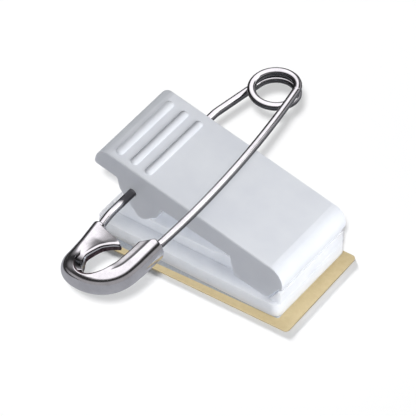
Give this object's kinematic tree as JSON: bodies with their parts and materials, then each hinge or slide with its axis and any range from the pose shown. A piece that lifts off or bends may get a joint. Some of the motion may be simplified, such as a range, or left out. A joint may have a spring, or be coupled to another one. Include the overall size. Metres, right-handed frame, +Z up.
{
  "type": "clip pin",
  "caption": "Badge clip pin: a sprung plastic clip lever on a self-adhesive plate, with a steel safety pin threaded through its pivot.",
  "frame": {"origin": "on the underside of the release liner, straight below the pivot's centre line", "axes": "+X from the grip end to the jaw, +Y along the pivot to the pin's coil, +Z up from the surface it is stuck to"},
  "size_m": [0.025, 0.0377, 0.0121],
  "materials": {
    "translucent_plastic": "satin translucent moulding",
    "white_plastic": "glossy white moulding",
    "foam": "matt closed-cell foam with adhesive",
    "liner_paper": "coated tan paper",
    "wire_steel": "bright nickel plate",
    "cap_steel": "bright nickel plate on rolled sheet"
  },
  "bodies": {
    "base": {"base_plate": "translucent_plastic", "sticking_pad": "foam", "release_liner": "liner_paper"},
    "lever": {"clip_lever": "white_plastic"},
    "pin": {"pin_wire": "wire_steel", "pin_cap": "cap_steel"},
    "pin_arm": {"pointed_arm": "wire_steel"}
  },
  "joints": [
    {"name": "lever_pivot", "type": "hinge", "parent": "base", "child": "lever", "pos_m": [0, 0, 0.00823], "axis": [0, -1, 0], "range_deg": [0, 25], "stiffness_Nm_per_rad": 0.03, "springref_deg": -0.57},
    {"name": "pin_swing", "type": "hinge", "parent": "lever", "child": "pin", "pos_m": [0, 0, 0.00823], "axis": [0, -1, 0], "range_deg": [0, 175]},
    {"name": "pin_arm_open", "type": "hinge", "parent": "pin", "child": "pin_arm", "pos_m": [0.00342, 0.01475, 0.00965], "axis": [-0.2756, 0, -0.9613], "range_deg": [0, 6], "stiffness_Nm_per_rad": 0.03, "springref_deg": -0.57}
  ]
}
